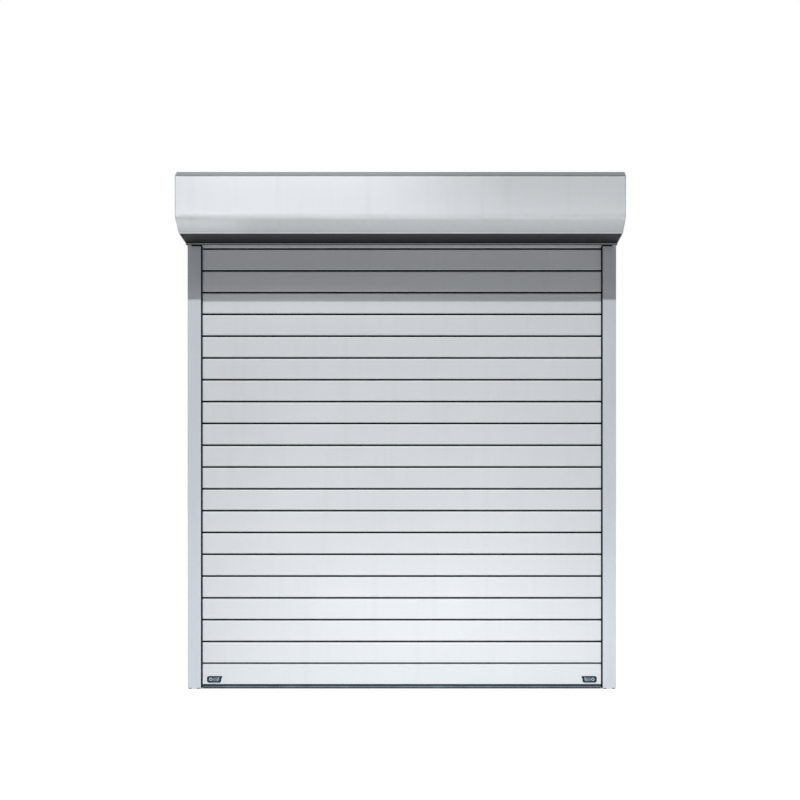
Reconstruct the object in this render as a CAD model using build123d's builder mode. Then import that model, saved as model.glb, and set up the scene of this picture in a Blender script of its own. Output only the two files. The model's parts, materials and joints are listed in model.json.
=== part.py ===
from build123d import *
import math
import os

os.makedirs("parts", exist_ok=True)

# Exterior roller shutter, closed, seen with the wall behind it at +Y and the street at -Y.
# X runs along the slats, Z is up. The origin is the middle of the bottom seal's underside:
# Z = 0 is the sill and Y = 0 is the middle of the curtain's thickness.

# Overall sizes
overall_width = 1510.0
rail_top = 1560.0
box_height = 220.0
box_depth = 205.0
wall_plane = 16.0

# Clearances and cutting overruns
running_gap = 0.05
slide_gap = 0.3
seat_gap = 0.3
seal_gap = 0.5
cut_over = 1.0

# Guide rail section: a slat channel beside a hollow outer chamber
rail_width = 53.0
rail_depth = 27.0
rail_wall = 1.6
channel_wall = 1.5
channel_width = 18.8
channel_reach = 38.0
seal_strip = 6.0
seal_rib_place = 14.0
seal_rib_wall = 1.2
seal_rib_height = 1.2
foot_height = 4.0
foot_plug_height = 25.0
drain_width = 7.0
drain_depth = 4.0
drain_place_share = (0.1, 0.72)

# Curtain: slats that hang in one another by a hook and a pocket
slat_pitch = 77.0
slat_thickness = 14.0
slat_wall = 1.3
face_gap = 5.0
slot_travel = 2.5
slat_end_play = 5.0
face_edge = 0.8
rib_wall = 1.0
rib_place_share = 0.56
seal_height = 14.0
bar_height = 75.0

# The hook above a slat's top wall, and the pocket that holds it
hook_wall = 1.4
crook_radius = 3.1
neck_offset = 2.35
lip_wall = 1.1
nib_wall = 1.3
nib_offset = 1.25
tip_gap = 0.6
pocket_headroom = 0.4

# End glides in every second slat
glide_plate = 2.0
glide_depth = 10.0
glide_fit = 0.2

# Bottom bar
bar_end_play = 18.0
bar_plug_plate = 2.5
bar_plug_depth = 16.0
seal_slot = 4.0
seal_groove_width = 9.0
seal_groove_height = 4.0
seal_body_width = 12.0
seal_foot_width = 7.0
seal_corner = 3.0
seal_bore_radius = 3.2
seal_side_gap = 2.0

# Slide locks on the bottom bar
lock_inset = 40.0
lock_height_place = 34.0
lock_length = 50.0
lock_tall = 22.0
lock_plate = 2.6
lock_corner = 6.0
lock_travel = 12.0
lock_window_length = 36.0
lock_window_tall = 9.0
lock_stem_length = 8.0
lock_stem_tall = 6.0
thumb_tall = 12.0
thumb_thickness = 1.8
thumb_length = 17.0
thumb_tip_reach = 14.0
thumb_tip_tall = 5.0
bolt_tall = 14.0
bolt_thickness = 4.0
bolt_inset = 1.0

# Shutter box
sheet = 1.2
bevel = 15.0
bend_height = 66.0
bend_radius = 24.0
bevel_radius = 2.0
slope_depth = 56.0
slope_drop = 46.0
lip_depth = 150.0
lip_rise = 4.5
hem_radius = 1.5
top_hem_radius = 0.8
hem_back_share = 1.4
cover_joint = 1.0

# Box end caps
cap_plate = 3.0
cap_flange = 11.0
cap_flange_wall = 2.0
tongue_length = 60.0
tongue_fit = 0.4

# Curtain inlet
inlet_strip_wall = 1.5
inlet_strip_rise = 6.0
brush_length = 6.0
brush_thickness = 3.0
guide_wall = 1.5
guide_rise = 32.0
guide_flare_front = 8.0
guide_flare_rear = 3.0
guide_side_wall = 1.5

# Winding shaft
tube_across = 60.0
tube_wall = 1.0
tube_set_back = 104.0
tube_rise = 111.0
tube_side_gap = 2.0
strap_count = 3
strap_span_share = 0.684
strap_width = 30.0
strap_thickness = 1.0
strap_start_share = 0.5
rivet_head_radius = 4.0
rivet_head = 1.2
rivet_hole_gap = 0.1
strap_hook_width = 40.0

# Tube motor at the right end, idler at the left end
bracket_plate = 4.0
bracket_width = 90.0
bracket_tall = 70.0
bracket_corner = 8.0
motor_head_radius = 27.0
motor_head_length = 24.0
motor_radius = 23.0
motor_length = 482.0
crown_length = 32.0
adapter_length = 24.0
shaft_radius = 6.0
shaft_seat = 8.0
shaft_sides = 6
end_plug_length = 35.0
idler_pin_length = 57.0
bearing_radius = 14.0
bearing_width = 10.0
bearing_wall = 4.0

# Screws and the cable grommet
screw_sides = 8
screw_radius = 2.0
screw_head_sides = 6
screw_head_radius = 3.8
screw_head = 2.4
screw_spacing_y = 70.0
screw_spacing_z = 50.0
screw_depth = 2.2
cover_screw_head = 1.6
cover_screw_length = 8.0
cover_screw_side = 9.0
cover_screw_place_share = (0.18, 0.82)
grommet_hole_radius = 8.0
grommet_flange_radius = 11.0
grommet_flange = 2.0
grommet_bore_radius = 4.0
grommet_side = 90.0
grommet_drop = 40.0

# Wall fixing holes in the rails
fixing_radius = 2.75
fixing_access_radius = 6.0
fixing_low = 150.0
fixing_high = 1410.0

# Worked-out places
half_width = overall_width / 2
box_top = rail_top + box_height
front_face = wall_plane - box_depth
rail_front = wall_plane - rail_depth
rail_inner = half_width - rail_width
web_inner = rail_inner + channel_reach
web_outer = web_inner + rail_wall
channel_half = channel_width / 2
slat_half = slat_thickness / 2
slat_inner = slat_half - slat_wall
first_line = seal_height + bar_height
slat_end = web_inner - slat_end_play
bar_end = web_inner - bar_end_play
tube_y = wall_plane - tube_set_back
tube_z = rail_top + tube_rise
lock_place = rail_inner - lock_inset
slat_count = math.ceil((rail_top - first_line) / slat_pitch)
cap_inner = half_width - cap_plate


def save(piece, name):
    piece.label = name
    export_step(piece, f"parts/{name}.step")


def save_pair(piece, name):
    # The right-hand piece as made, and its mirror image for the left.
    save(piece, f"{name}_right")
    save(mirror(piece, about=Plane.YZ), f"{name}_left")


def joined(pieces):
    # Loose solids of one kind, kept apart in one node.
    return Compound(children=pieces)


def wall(low, high, mode=Mode.ADD):
    # A wall of a section, from its lower to its upper corner.
    with Locations(((low[0] + high[0]) / 2, (low[1] + high[1]) / 2)):
        Rectangle(high[0] - low[0], high[1] - low[1], mode=mode)


def shank(gap=0, mode=Mode.ADD):
    # The small screws and rivets, and their holes, have a few flat sides each.
    RegularPolygon(screw_radius + gap, screw_sides, mode=mode)


# The curtain's extrusions, with (Y, Z) as the section's own axes.
# A joint line is the middle of the face gap between two pieces. At rest each piece stands on
# the one below by its rear wall; lifted by slot_travel, its nib hangs in the crook below.
body_drop = face_gap / 2
crook_y = neck_offset - crook_radius
crook_rise = body_drop + lip_wall + slot_travel + hook_wall / 2 + tip_gap
nib_swing = crook_radius - hook_wall / 2 - slide_gap
nib_reach = abs(crook_y + nib_offset) + nib_wall / 2
nib_rise = crook_rise + math.sqrt(nib_swing**2 - nib_reach**2) - slot_travel
pocket_ceiling = crook_rise + crook_radius + hook_wall / 2 + pocket_headroom
pocket_top = pocket_ceiling + slat_wall


def curtain_section(low_line, high_line, pocket, hook):
    # Front and rear walls, a top wall with its hook, and a pocket that opens downwards.
    face_low = low_line + body_drop
    face_high = high_line - body_drop
    crook_z = high_line + crook_rise
    with BuildSketch(Plane.XY) as section:
        wall((-slat_half, face_low), (-slat_inner, face_high))
        rear_low = low_line - body_drop if pocket else face_low
        wall((slat_inner, rear_low), (slat_half, face_high))
        wall((-slat_half, face_high - slat_wall), (slat_half, face_high))
        if pocket:
            wall((-slat_inner, low_line + pocket_ceiling), (slat_inner, low_line + pocket_top))
            nib_high = low_line + nib_rise
            wall((-slat_half, face_low), (-nib_offset + nib_wall / 2, face_low + lip_wall))
            wall((-nib_offset - nib_wall / 2, face_low), (-nib_offset + nib_wall / 2, nib_high))
        if hook:
            # The neck rises from the top wall and curls to the street side, half round.
            with BuildLine() as crook:
                Line((neck_offset, face_high - slat_wall / 2), (neck_offset, crook_z))
                CenterArc((crook_y, crook_z), crook_radius, start_angle=0, arc_size=180)
            trace(crook.line, hook_wall)
        street_corners = section.vertices().group_by(Axis.X)[0]
        chamfer(street_corners, face_edge)
    return section.sketch


rib_low = first_line + rib_place_share * slat_pitch
with BuildPart() as slat:
    with BuildSketch(Plane.YZ.offset(-slat_end)):
        add(curtain_section(first_line, first_line + slat_pitch, pocket=True, hook=True))
        wall((-slat_inner, rib_low), (slat_inner, rib_low + rib_wall))
    extrude(amount=2 * slat_end)

# A glide plate closes the slat's end and plugs into its lower chamber.
with BuildPart() as glide:
    glide_low = first_line + pocket_top
    glide_high = first_line + slat_pitch - body_drop
    with BuildSketch(Plane.YZ.offset(slat_end)):
        wall((-slat_half, glide_low), (slat_half, glide_high))
    extrude(amount=glide_plate)
    with BuildSketch(Plane.YZ.offset(slat_end - glide_depth)):
        spigot_half = slat_inner - glide_fit
        wall((-spigot_half, glide_low + glide_fit), (spigot_half, rib_low - glide_fit))
    extrude(amount=glide_depth)

for number in range(1, slat_count + 1):
    lift = Location((0, 0, (number - 1) * slat_pitch))
    pieces = [slat.part.moved(lift)]
    if number % 2 == 0:
        pieces.append(glide.part.moved(lift))
        pieces.append(mirror(glide.part, about=Plane.YZ).moved(lift))
    save(joined(pieces), f"slat_{number:02d}")

# Short clips grip the top slat's hook and end the straps from the shaft.
top_line = first_line + slat_count * slat_pitch
clip_high = top_line + pocket_top + body_drop
strap_span = strap_span_share * rail_inner
strap_places = [(2 * i / (strap_count - 1) - 1) * strap_span for i in range(strap_count)]
strap_clips = []
for place in strap_places:
    with BuildPart() as strap_clip:
        with BuildSketch(Plane.YZ.offset(place - strap_hook_width / 2)):
            add(curtain_section(top_line, clip_high, pocket=True, hook=False))
        extrude(amount=strap_hook_width)
    strap_clips.append(strap_clip.part)
save(joined(strap_clips), "strap_hooks")

# Bottom bar: the same thickness and hook, a groove for the seal underneath.
groove_floor = seal_height + slat_wall
groove_top = groove_floor + seal_groove_height
bar_rib_low = seal_height + rib_place_share * bar_height
bolt_low = lock_height_place - bolt_tall / 2
with BuildPart() as bottom_bar:
    with BuildSketch(Plane.YZ.offset(-bar_end)):
        add(curtain_section(seal_height - body_drop, first_line, pocket=False, hook=True))
        wall((-slat_inner, seal_height), (slat_inner, groove_top + slat_wall))
        wall((-slat_inner, bar_rib_low), (slat_inner, bar_rib_low + rib_wall))
        wall(
            (-seal_groove_width / 2, groove_floor), (seal_groove_width / 2, groove_top), Mode.SUBTRACT
        )
        wall((-seal_slot / 2, seal_height - cut_over), (seal_slot / 2, groove_floor), Mode.SUBTRACT)
    extrude(amount=2 * bar_end)
    # Slots for the stems of the two lock slides, long enough for their travel
    for side in (-1, 1):
        with BuildSketch(Plane.XZ.offset(slat_half + cut_over)):
            with Locations((side * (lock_place + lock_travel / 2), lock_height_place)):
                Rectangle(
                    lock_stem_length + lock_travel + 2 * slide_gap, lock_stem_tall + 2 * slide_gap
                )
        extrude(amount=-(slat_wall + 2 * cut_over), mode=Mode.SUBTRACT)
save(bottom_bar.part, "bottom_bar")

# The rubber seal: a flat foot under a hollow bulb, with a stem into the groove.
with BuildPart() as bottom_seal:
    seal_end = rail_inner - seal_side_gap
    stem_half = seal_slot / 2 - glide_fit
    head_half = seal_groove_width / 2 - glide_fit
    shoulder = seal_height - seal_gap
    with BuildSketch(Plane.YZ.offset(-seal_end)):
        with BuildLine():
            Polyline(
                (-seal_foot_width / 2, 0),
                (seal_foot_width / 2, 0),
                (seal_body_width / 2, seal_corner),
                (seal_body_width / 2, shoulder),
                (-seal_body_width / 2, shoulder),
                (-seal_body_width / 2, seal_corner),
                close=True,
            )
        make_face()
        with Locations((0, shoulder / 2)):
            Circle(seal_bore_radius, mode=Mode.SUBTRACT)
        wall((-stem_half, shoulder - seal_gap), (stem_half, groove_floor + glide_fit))
        wall((-head_half, groove_floor + glide_fit), (head_half, groove_top - glide_fit))
    extrude(amount=2 * seal_end)
save(bottom_seal.part, "bottom_seal")

# End plugs of the bottom bar, each with a slot for its bolt
bar_chamber_low = groove_top + slat_wall
bolt_front = -slat_inner + bolt_inset
with BuildPart() as bar_plug:
    with BuildSketch(Plane.YZ.offset(bar_end)):
        wall((-slat_half, seal_height), (slat_half, first_line - body_drop))
    extrude(amount=bar_plug_plate)
    with BuildSketch(Plane.YZ.offset(bar_end - bar_plug_depth)):
        plug_half = slat_inner - glide_fit
        wall((-plug_half, bar_chamber_low + glide_fit), (plug_half, bar_rib_low - glide_fit))
    extrude(amount=bar_plug_depth)
    with BuildSketch(Plane.YZ.offset(bar_end - bar_plug_depth - cut_over)):
        wall(
            (bolt_front - slide_gap, bolt_low - slide_gap),
            (bolt_front + bolt_thickness + slide_gap, bolt_low + bolt_tall + slide_gap),
        )
    extrude(amount=bar_plug_depth + bar_plug_plate + 2 * cut_over, mode=Mode.SUBTRACT)
save(joined([bar_plug.part, mirror(bar_plug.part, about=Plane.YZ)]), "bar_end_plugs")

# Lock housing: an oblong bezel on the bar's street face, with a window for the slide
lock_front = slat_half + lock_plate
with BuildPart() as lock_housing:
    with BuildSketch(Plane.XZ.offset(slat_half)):
        with Locations((lock_place, lock_height_place)):
            RectangleRounded(lock_length, lock_tall, lock_corner)
            Rectangle(lock_window_length, lock_window_tall, mode=Mode.SUBTRACT)
    extrude(amount=lock_plate)
save(joined([lock_housing.part, mirror(lock_housing.part, about=Plane.YZ)]), "lock_housings")

# Lock slide: a ribbed thumb pad in front of the bezel, whose tip points up and inwards,
# and a stem through the window to the bolt
with BuildPart() as lock_slide:
    pad_right = lock_place + thumb_length / 2
    pad_left = lock_place - thumb_length / 2
    pad_low = lock_height_place - thumb_tall / 2
    pad_high = lock_height_place + thumb_tall / 2
    tip_x = pad_left - thumb_tip_reach
    with BuildSketch(Plane.XZ.offset(lock_front + slide_gap)):
        with BuildLine():
            Polyline(
                (pad_right, pad_low),
                (pad_right, pad_high),
                (tip_x, pad_high + thumb_tip_tall),
                (tip_x, pad_high),
                (pad_left, pad_low),
                close=True,
            )
        make_face()
    extrude(amount=thumb_thickness)
    with BuildSketch(Plane.XZ.offset(-bolt_front)):
        with Locations((lock_place, lock_height_place)):
            Rectangle(lock_stem_length, lock_stem_tall)
    extrude(amount=lock_front + slide_gap + bolt_front)
save_pair(lock_slide.part, "lock_slide")

with BuildPart() as lock_bolt:
    bolt_inner = lock_place - lock_stem_length
    with BuildSketch(Plane.YZ.offset(bolt_inner)):
        wall((bolt_front, bolt_low), (bolt_front + bolt_thickness, bolt_low + bolt_tall))
    extrude(amount=bar_end + bar_plug_plate - bolt_inner)
    bolt_nose = lock_bolt.faces().sort_by(Axis.X)[-1].edges().filter_by(Axis.Y)
    chamfer(bolt_nose, bolt_thickness / 4)
save_pair(lock_bolt.part, "lock_bolt")

# Guide rail section in plan, right-hand rail
with BuildPart() as guide_rail:
    with BuildSketch(Plane.XY.offset(foot_height)):
        wall((rail_inner + seal_strip, rail_front), (half_width, rail_front + rail_wall))
        wall((half_width - rail_wall, rail_front), (half_width, wall_plane))
        wall((rail_inner, wall_plane - rail_wall), (half_width, wall_plane))
        wall((rail_inner, channel_half), (web_outer, channel_half + channel_wall))
        wall((rail_inner, channel_half), (rail_inner + rail_wall, wall_plane))
        wall((web_inner, rail_front), (web_outer, wall_plane))
        rib_x = rail_inner + seal_rib_place
        rib_y = rail_front + rail_wall
        wall((rib_x, rib_y), (rib_x + seal_rib_wall, rib_y + seal_rib_height))
    extrude(amount=rail_top - foot_height)
    # Wall fixings: a hole in the rear wall, and a larger way in through the channel's wall
    fixing_x = rail_inner + channel_reach / 2
    for height in (fixing_low, fixing_high):
        with BuildSketch(Plane.XZ.offset(-(wall_plane + cut_over))):
            with Locations((fixing_x, height)):
                Circle(fixing_radius)
        extrude(amount=rail_wall + 2 * cut_over, mode=Mode.SUBTRACT)
        with BuildSketch(Plane.XZ.offset(-(channel_half + channel_wall + cut_over))):
            with Locations((fixing_x, height)):
                Circle(fixing_access_radius)
        extrude(amount=channel_wall + 2 * cut_over, mode=Mode.SUBTRACT)
save_pair(guide_rail.part, "guide_rail")

# Seals at the channel's mouth: one clipped round the front wall's edge, one on the rear wall
front_wall_inner = rail_front + rail_wall
lip_front = slat_half + seal_gap
with BuildPart() as front_seal:
    with BuildSketch(Plane.XY.offset(foot_height)):
        with BuildLine():
            strip_edge = rail_inner + seal_strip
            flange_end = rail_inner + seal_rib_place
            flange_y = front_wall_inner + seal_rib_height - glide_fit
            Polyline(
                (flange_end, front_wall_inner),
                (strip_edge, front_wall_inner),
                (strip_edge, rail_front),
                (rail_inner + seal_rib_height, rail_front),
                (rail_inner, rail_front + seal_rib_height),
                (rail_inner + seal_strip / 8, -lip_front),
                (rail_inner + seal_strip / 3, -lip_front),
                (strip_edge, flange_y),
                (flange_end, flange_y),
                close=True,
            )
        make_face()
    extrude(amount=rail_top - foot_height)
with BuildPart() as rear_seal:
    with BuildSketch(Plane.XY.offset(foot_height)):
        with BuildLine():
            Polyline(
                (rail_inner, channel_half),
                (rail_inner + seal_strip, channel_half),
                (rail_inner + seal_strip, channel_half - seal_rib_height / 2),
                (rail_inner + seal_strip / 3, lip_front),
                (rail_inner + seal_strip / 8, lip_front),
                close=True,
            )
        make_face()
    extrude(amount=rail_top - foot_height)
save_pair(joined([front_seal.part, rear_seal.part]), "rail_seal")

# Rail foot: a plate under the section, drained at its front edge, with a plug in the chamber
with BuildPart() as rail_foot:
    with BuildSketch(Plane.XY):
        wall((rail_inner + seal_strip, rail_front), (half_width, wall_plane))
        wall((rail_inner, channel_half), (half_width, wall_plane))
        foot_face = rail_width - seal_strip
        for share in drain_place_share:
            drain_x = rail_inner + seal_strip + share * foot_face
            wall(
                (drain_x, rail_front - cut_over),
                (drain_x + drain_width, rail_front + drain_depth),
                Mode.SUBTRACT,
            )
    extrude(amount=foot_height)
    with BuildSketch(Plane.XY.offset(foot_height)):
        wall(
            (web_outer + tongue_fit, rail_front + rail_wall + tongue_fit),
            (half_width - rail_wall - tongue_fit, wall_plane - rail_wall - tongue_fit),
        )
    extrude(amount=foot_plug_height)
save_pair(rail_foot.part, "rail_foot")

# Shutter box outline in (Y, Z): rear wall, top, bevel, fascia, slope, underside and lip
bend_z = rail_top + bend_height
hem_y = front_face + slope_depth
hem_z = bend_z - slope_drop
lip_y = front_face + lip_depth
lip_z = rail_top + lip_rise
box_points = [
    (wall_plane, rail_top),
    (wall_plane, box_top),
    (front_face + bevel, box_top),
    (front_face, box_top - bevel),
    (front_face, bend_z),
    (hem_y, hem_z),
    (lip_y, lip_z),
    (lip_y, rail_top),
]


def box_section(inset, thickness):
    # The box outline, drawn in by an inset, solid or as a wall of one thickness.
    with BuildSketch(Plane.XY) as section:
        with BuildLine():
            Polyline(*box_points, close=True)
        make_face()
        corners = section.vertices()
        fillet(corners.sort_by_distance(box_points[4])[0], bend_radius)
        bevel_corners = [section.vertices().sort_by_distance(box_points[i])[0] for i in (2, 3)]
        fillet(bevel_corners, bevel_radius)
        if inset:
            offset(amount=-inset, kind=Kind.INTERSECTION)
        if thickness:
            offset(amount=-thickness, kind=Kind.INTERSECTION, mode=Mode.SUBTRACT)
    return section.sketch


cover_end = cap_inner - seat_gap
split_z = box_top - bevel - bevel_radius
with BuildPart() as top_cover:
    with BuildSketch(Plane.YZ.offset(-cover_end)):
        add(box_section(0, sheet))
        wall(
            (front_face - cut_over, rail_top - cut_over),
            (wall_plane - sheet, split_z),
            Mode.SUBTRACT,
        )
    extrude(amount=2 * cover_end)
    with BuildSketch(Plane.XZ.offset(-(wall_plane + cut_over))):
        with Locations((half_width - grommet_side, box_top - grommet_drop)):
            Circle(grommet_hole_radius)
    extrude(amount=sheet + 2 * cut_over, mode=Mode.SUBTRACT)
save(top_cover.part, "top_cover")

# Front cover: fascia, soft bend and slope, hemmed at both edges
slope_run = math.hypot(slope_depth, slope_drop)
hem_back = hem_radius * hem_back_share / slope_run
hem_out = (hem_radius - sheet) / slope_run
with BuildPart() as front_cover:
    with BuildSketch(Plane.YZ.offset(-cover_end)):
        add(box_section(0, sheet))
        wall(
            (front_face - cut_over, hem_z - cut_over),
            (hem_y - hem_radius, split_z - cover_joint),
            Mode.INTERSECT,
        )
        with Locations(
            (
                hem_y - hem_back * slope_depth - hem_out * slope_drop,
                hem_z + hem_back * slope_drop - hem_out * slope_depth,
            )
        ):
            Circle(hem_radius)
        with Locations((front_face + sheet - top_hem_radius, split_z - cover_joint - top_hem_radius)):
            Circle(top_hem_radius)
    extrude(amount=2 * cover_end)
save(front_cover.part, "front_cover")

# Bottom cover: the underside, with a lip turned down in front of the curtain
underside_run = lip_y - hem_y
underside_drop = hem_z - lip_z
underside_tilt = math.degrees(math.atan2(underside_drop, underside_run))
cover_screw_seats = []
for share in cover_screw_place_share:
    for side in (-1, 1):
        place = (
            side * (half_width - cover_screw_side),
            hem_y + share * underside_run,
            hem_z - share * underside_drop,
        )
        seat = Plane(origin=place, x_dir=(1, 0, 0)).rotated((-underside_tilt, 0, 0))
        cover_screw_seats.append(seat)
with BuildPart() as bottom_cover:
    with BuildSketch(Plane.YZ.offset(-cover_end)):
        add(box_section(0, sheet))
        underside_rear = (lip_y + sheet, hem_z + cut_over)
        wall((hem_y + cover_joint, rail_top - cut_over), underside_rear, Mode.INTERSECT)
    extrude(amount=2 * cover_end)
    for seat in cover_screw_seats:
        with BuildSketch(seat.offset(-cut_over)):
            shank(rivet_hole_gap)
        extrude(amount=sheet + 2 * cut_over, mode=Mode.SUBTRACT)
save(bottom_cover.part, "bottom_cover")

cover_screws = []
for seat in cover_screw_seats:
    with BuildPart() as cover_screw:
        with BuildSketch(seat.offset(-cover_screw_head)):
            RegularPolygon(screw_head_radius, screw_head_sides)
        extrude(amount=cover_screw_head)
        with BuildSketch(seat):
            shank()
        extrude(amount=cover_screw_length)
    cover_screws.append(cover_screw.part)
save(joined(cover_screws), "cover_screws")

# End cap: the box outline as a plate, a flange inside the covers, and a tongue into the rail
with BuildPart() as end_cap:
    with BuildSketch(Plane.YZ.offset(cap_inner)):
        add(box_section(0, 0))
    extrude(amount=cap_plate)
    with BuildSketch(Plane.YZ.offset(cap_inner - cap_flange)):
        add(box_section(sheet + seat_gap, cap_flange_wall))
    extrude(amount=cap_flange)
    with BuildSketch(Plane.XY.offset(rail_top - tongue_length)):
        wall(
            (web_outer + tongue_fit, rail_front + rail_wall + tongue_fit),
            (cap_inner, wall_plane - rail_wall - tongue_fit),
        )
    extrude(amount=tongue_length + sheet + seat_gap + cap_flange_wall)
    for seat in cover_screw_seats:
        with BuildSketch(seat):
            shank(rivet_hole_gap)
        extrude(amount=cover_screw_length, mode=Mode.SUBTRACT)
    for y_side in (-1, 1):
        for z_side in (-1, 1):
            with BuildSketch(Plane.YZ.offset(cap_inner)):
                with Locations(
                    (tube_y + y_side * screw_spacing_y / 2, tube_z + z_side * screw_spacing_z / 2)
                ):
                    shank(rivet_hole_gap)
            extrude(amount=screw_depth + rivet_hole_gap, mode=Mode.SUBTRACT)
save_pair(end_cap.part, "end_cap")

# Inlet strip behind the lip, and the brush that it holds against the curtain
strip_end = rail_inner - seal_side_gap
strip_rear = -(slat_half + seal_gap + brush_length)
strip_low = rail_top + inlet_strip_rise
with BuildPart() as inlet_strip:
    with BuildSketch(Plane.YZ.offset(-strip_end)):
        leg_y = lip_y + sheet
        wall((leg_y, rail_top + sheet), (leg_y + inlet_strip_wall, strip_low + inlet_strip_wall))
        wall((leg_y, strip_low), (strip_rear, strip_low + inlet_strip_wall))
        wall(
            (strip_rear - brush_thickness, strip_low + inlet_strip_wall),
            (strip_rear, strip_low + inlet_strip_wall + brush_thickness),
        )
    extrude(amount=2 * strip_end)
save(inlet_strip.part, "inlet_strip")
with BuildPart() as inlet_brush:
    with BuildSketch(Plane.YZ.offset(-strip_end)):
        wall(
            (strip_rear, strip_low + inlet_strip_wall),
            (-(slat_half + seal_gap), strip_low + inlet_strip_wall + brush_thickness),
        )
    extrude(amount=2 * strip_end)
save(inlet_brush.part, "inlet_brush")

# Inlet guide on the rail's top: two flared fingers joined by a side wall
guide_front = rail_front + rail_wall
with BuildPart() as inlet_guide:
    with BuildSketch(Plane.YZ.offset(rail_inner + rail_wall)):
        with BuildLine():
            Polyline(
                (guide_front - guide_wall, rail_top),
                (guide_front, rail_top),
                (guide_front - guide_flare_front, rail_top + guide_rise),
                (guide_front - guide_flare_front - guide_wall, rail_top + guide_rise),
                close=True,
            )
        make_face()
        with BuildLine():
            Polyline(
                (channel_half, rail_top),
                (channel_half + guide_wall, rail_top),
                (channel_half + guide_wall + guide_flare_rear, rail_top + guide_rise),
                (channel_half + guide_flare_rear, rail_top + guide_rise),
                close=True,
            )
        make_face()
    extrude(amount=channel_reach - rail_wall - guide_side_wall)
    with BuildSketch(Plane.YZ.offset(web_inner - guide_side_wall)):
        with BuildLine():
            Polyline(
                (guide_front - guide_wall, rail_top),
                (channel_half + guide_wall, rail_top),
                (channel_half + guide_wall + guide_flare_rear, rail_top + guide_rise),
                (guide_front - guide_flare_front - guide_wall, rail_top + guide_rise),
                close=True,
            )
        make_face()
    extrude(amount=guide_side_wall)
save_pair(inlet_guide.part, "inlet_guide")

# Winding shaft: an eight-sided steel tube on a motor at the right and a pin at the left
axis_plane = Plane(origin=(0, tube_y, tube_z), x_dir=(0, 1, 0), z_dir=(1, 0, 0))
tube_half = tube_across / 2
tube_inner = tube_half - tube_wall
motor_face = cap_inner - bracket_plate - motor_head_length
tube_right = motor_face - tube_side_gap
idler_face = cap_inner - bracket_plate - bearing_width - tube_side_gap
tube_left = -(idler_face - tube_side_gap)
octagon_turn = 180 / 8


def octagon(apothem, mode=Mode.ADD):
    RegularPolygon(apothem, 8, major_radius=False, rotation=octagon_turn, mode=mode)


with BuildPart() as winding_tube:
    with BuildSketch(axis_plane.offset(tube_left)):
        octagon(tube_half)
        octagon(tube_inner, Mode.SUBTRACT)
    extrude(amount=tube_right - tube_left)
    with BuildSketch(Plane.XY.offset(tube_z + tube_inner - cut_over)):
        with Locations([(place, tube_y) for place in strap_places]):
            shank(rivet_hole_gap)
    extrude(amount=tube_wall + 2 * cut_over, mode=Mode.SUBTRACT)
save(winding_tube.part, "winding_tube")

# Straps lie on the shaft's upper flats and run down to the clips on the top slat.
strap_apothem = tube_half + strap_thickness / 2
strap_corner = strap_apothem / math.cos(math.radians(octagon_turn))


def round_shaft(radius, degrees):
    angle = math.radians(degrees)
    return (tube_y + radius * math.cos(angle), tube_z + radius * math.sin(angle))


upper_corner = round_shaft(strap_corner, 90 - octagon_turn)
front_corner = round_shaft(strap_corner, 90 + octagon_turn)
next_corner = round_shaft(strap_corner, 90 + 3 * octagon_turn)
strap_start = (
    front_corner[0] + strap_start_share * (next_corner[0] - front_corner[0]),
    front_corner[1] + strap_start_share * (next_corner[1] - front_corner[1]),
)
strap_foot = (-strap_thickness, clip_high - body_drop + seat_gap + strap_thickness)

# A strap also goes round a rear corner that its straight run would cut.
strap_points = [strap_start, front_corner, upper_corner]
for degrees in (octagon_turn, -octagon_turn):
    corner = round_shaft(strap_corner, degrees)
    last = strap_points[-1]
    run = (strap_foot[0] - last[0], strap_foot[1] - last[1])
    reach = (corner[0] - last[0], corner[1] - last[1])
    if run[0] * reach[1] > run[1] * reach[0]:
        strap_points.append(corner)
strap_points.append(strap_foot)
straps = []
rivets = []
for place in strap_places:
    with BuildPart() as strap:
        with BuildSketch(Plane.YZ.offset(place - strap_width / 2)):
            with BuildLine() as strap_line:
                Polyline(*strap_points)
            trace(strap_line.line, strap_thickness)
        extrude(amount=strap_width)
        with BuildSketch(Plane.XY.offset(tube_z + tube_half - cut_over)):
            with Locations((place, tube_y)):
                shank(rivet_hole_gap)
        extrude(amount=strap_thickness + 2 * cut_over, mode=Mode.SUBTRACT)
    straps.append(strap.part)
    with BuildPart() as rivet:
        with BuildSketch(Plane.XY.offset(tube_z + tube_inner)):
            with Locations((place, tube_y)):
                shank()
        extrude(amount=tube_wall + strap_thickness)
        with BuildSketch(Plane.XY.offset(tube_z + tube_half + strap_thickness)):
            with Locations((place, tube_y)):
                RegularPolygon(rivet_head_radius, screw_sides)
        extrude(amount=rivet_head)
    rivets.append(rivet.part)
save(joined(straps), "hanger_straps")
save(joined(rivets), "strap_rivets")

def bracket_outline():
    # A plate with cut corners and four screw holes.
    plate = Rectangle(bracket_width, bracket_tall)
    chamfer(plate.vertices(), bracket_corner)
    with GridLocations(screw_spacing_y, screw_spacing_z, 2, 2):
        shank(rivet_hole_gap, Mode.SUBTRACT)


# Motor side: bracket, head, body, the crown that turns round it, and the drive adapter
with BuildPart() as motor_bracket:
    with BuildSketch(axis_plane.offset(cap_inner - bracket_plate)):
        bracket_outline()
    extrude(amount=bracket_plate)
save(motor_bracket.part, "motor_bracket")

with BuildPart() as motor_head:
    with BuildSketch(axis_plane.offset(motor_face)):
        octagon(motor_head_radius)
    extrude(amount=motor_head_length)
save(motor_head.part, "motor_head")

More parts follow.
